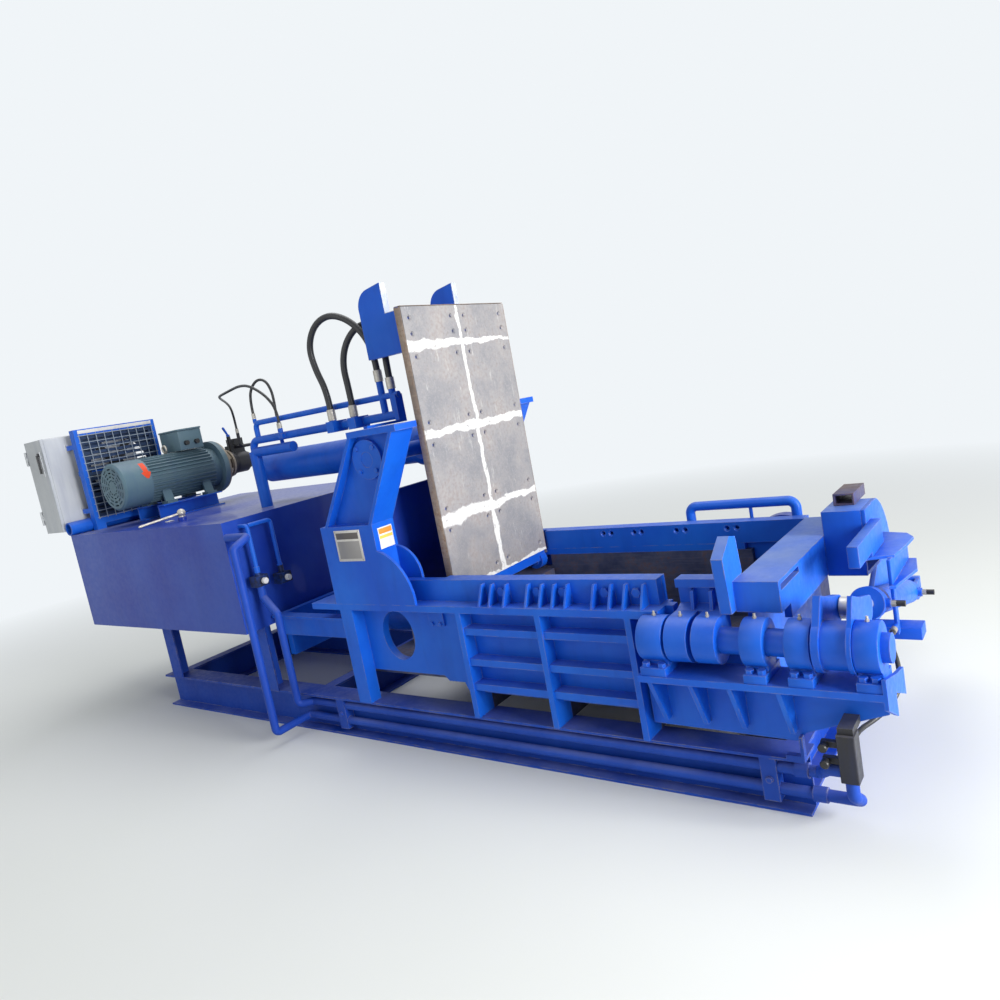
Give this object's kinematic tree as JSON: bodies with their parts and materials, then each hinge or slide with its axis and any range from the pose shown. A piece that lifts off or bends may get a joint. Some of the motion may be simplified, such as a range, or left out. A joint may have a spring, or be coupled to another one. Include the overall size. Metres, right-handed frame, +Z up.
{
  "type": "recycling baler",
  "caption": "Scrap baling press on a steel skid: hinged lid with horns, main and side rams, turn-out flap, oil tank with motor, pump, cooler and control cabinet.",
  "frame": {"origin": "centre of the machine's bounding box, on the floor it stands on", "axes": "+X along the machine from the oil tank to the bale outlet, +Y to the rear away from the flap, +Z up"},
  "size_m": [5.023, 1.92, 2.135],
  "materials": {
    "alloy": "plain finned alloy",
    "black": "black plastic",
    "black_metal": "black paint",
    "blue": "semi-gloss blue paint, worn",
    "grey": "light grey powder coat",
    "iron": "bare tan casting",
    "rod": "polished rod",
    "rubber": "black hose rubber",
    "rusty": "wear plate with rust and scale",
    "steel": "worn bare steel",
    "teal": "motor enamel, teal grey",
    "zinc": "zinc plate"
  },
  "bodies": {
    "frame": {"skid_frame": "blue", "oil_tank": "blue", "front_side_frame": "blue", "rear_side_frame": "blue", "chamber_floor": "rusty", "side_liners": "rusty", "shear_blades": "steel", "hex_bolts": "steel", "front_pillar": "blue", "rear_pillar": "blue", "trunnion_bearings": "blue", "lid_hinge_pins": "blue", "shaft_bracket": "blue", "shaft_bearings": "blue", "end_beam": "blue", "rear_end_bracket": "blue", "side_ram_housing": "blue", "main_barrel": "blue", "side_barrel": "blue", "manifold_pipes": "blue", "long_pipes": "blue", "pipe_clamps": "blue", "tank_valves": "black_metal", "end_valve": "black_metal", "rear_pipe": "blue", "hose_fittings": "zinc", "motor_frame": "teal", "terminal_box": "black_metal", "motor_rails": "blue", "bell_housing": "iron", "pump": "black_metal", "cooler_frame": "blue", "cooler_core": "alloy", "cooler_guard": "black_metal", "cabinet": "grey", "lid_hose_front": "rubber", "lid_hose_rear": "rubber", "pilot_hose_front": "rubber", "pilot_hose_rear": "rubber", "end_hose": "rubber"},
    "lid": {"lid_frame": "blue", "lid_liners": "rusty"},
    "lid_barrel": {"lid_cylinder_barrel": "blue"},
    "lid_rod": {"lid_cylinder_rod": "rod"},
    "main_ram": {"main_ram": "rusty"},
    "side_ram": {"side_ram": "rusty"},
    "flap": {"flap_door": "blue", "flap_shaft": "blue"},
    "flap_barrel": {"flap_cylinder_barrel": "blue"},
    "flap_rod": {"flap_cylinder_rod": "rod"},
    "rotor": {"motor_rotor": "steel"},
    "fan": {"cooler_fan": "black"},
    "door": {"cabinet_door": "grey"},
    "handle": {"door_handle": "black"},
    "tank_lever": {"tank_lever": "steel"},
    "pump_lever": {"pump_lever": "blue"},
    "tank_knob_front": {"tank_knob_front": "black"},
    "tank_knob_rear": {"tank_knob_rear": "black"},
    "end_knob_upper": {"end_knob_upper": "black"},
    "end_knob_lower": {"end_knob_lower": "black"}
  },
  "joints": [
    {"name": "lid_hinge", "type": "hinge", "parent": "frame", "child": "lid", "pos_m": [0.67, -0.215, 0.66], "axis": [0, 1, 0], "range_deg": [0, 90]},
    {"name": "lid_cylinder_trunnion", "type": "hinge", "parent": "frame", "child": "lid_barrel", "pos_m": [0.465, -0.215, 1.37], "axis": [0, 1, 0], "range_deg": [0, 33.47]},
    {"name": "lid_cylinder_stroke", "type": "slide", "parent": "lid_barrel", "child": "lid_rod", "axis": [1, 0, 0], "range_m": [0, 0.99693]},
    {"name": "main_ram_stroke", "type": "slide", "parent": "frame", "child": "main_ram", "axis": [1, 0, 0], "range_m": [0, 1]},
    {"name": "side_ram_stroke", "type": "slide", "parent": "frame", "child": "side_ram", "axis": [0, -1, 0], "range_m": [0, 0.4]},
    {"name": "flap_hinge", "type": "hinge", "parent": "frame", "child": "flap", "pos_m": [1.9, -0.76, 0.613], "axis": [1, 0, 0], "range_deg": [0, 90]},
    {"name": "flap_cylinder_clevis", "type": "hinge", "parent": "frame", "child": "flap_barrel", "pos_m": [2.3635, 0.425, 0.405], "axis": [-1, 0, 0], "range_deg": [0, 4.19]},
    {"name": "flap_cylinder_stroke", "type": "slide", "parent": "flap_barrel", "child": "flap_rod", "axis": [0, -0.9672, 0.254], "range_m": [0, 0.29835]},
    {"name": "motor_spin", "type": "hinge", "parent": "frame", "child": "rotor", "pos_m": [-1.81, -0.215, 1.415], "axis": [0, 1, 0], "continuous": true},
    {"name": "cooler_fan_spin", "type": "hinge", "parent": "frame", "child": "fan", "pos_m": [-2.205, -0.455, 1.535], "axis": [1, 0, 0], "continuous": true},
    {"name": "cabinet_door_hinge", "type": "hinge", "parent": "frame", "child": "door", "pos_m": [-2.504, -0.879, 1.49], "axis": [0, 0, -1], "range_deg": [0, 110]},
    {"name": "door_handle_turn", "type": "hinge", "parent": "door", "child": "handle", "pos_m": [-2.315, -0.88, 1.7], "axis": [0, 1, 0], "range_deg": [0, 90]},
    {"name": "tank_lever_turn", "type": "hinge", "parent": "frame", "child": "tank_lever", "pos_m": [-1.22, -0.66, 1.19], "axis": [0, 0, 1], "range_deg": [0, 90]},
    {"name": "pump_lever_turn", "type": "hinge", "parent": "frame", "child": "pump_lever", "pos_m": [-1.77, 0.14, 1.61], "axis": [0, 0, 1], "range_deg": [0, 90]},
    {"name": "tank_knob_front_turn", "type": "hinge", "parent": "frame", "child": "tank_knob_front", "pos_m": [-0.43, -0.76, 0.825], "axis": [1, 0, 0], "range_deg": [0, 270]},
    {"name": "tank_knob_rear_turn", "type": "hinge", "parent": "frame", "child": "tank_knob_rear", "pos_m": [-0.43, -0.615, 0.8], "axis": [1, 0, 0], "range_deg": [0, 270]},
    {"name": "end_knob_upper_turn", "type": "hinge", "parent": "frame", "child": "end_knob_upper", "pos_m": [2.296, -0.815, 0.303], "axis": [0, -1, 0], "range_deg": [0, 270]},
    {"name": "end_knob_lower_turn", "type": "hinge", "parent": "frame", "child": "end_knob_lower", "pos_m": [2.296, -0.815, 0.249], "axis": [0, -1, 0], "range_deg": [0, 270]}
  ],
  "couplings": [
    {"joint": "lid_cylinder_trunnion", "follows": "lid_hinge", "ratio": 0.37192},
    {"joint": "lid_cylinder_stroke", "follows": "lid_hinge", "m_per_rad": 0.63466},
    {"joint": "flap_cylinder_clevis", "follows": "flap_hinge", "ratio": 0.046594},
    {"joint": "flap_cylinder_stroke", "follows": "flap_hinge", "m_per_rad": 0.18993}
  ]
}
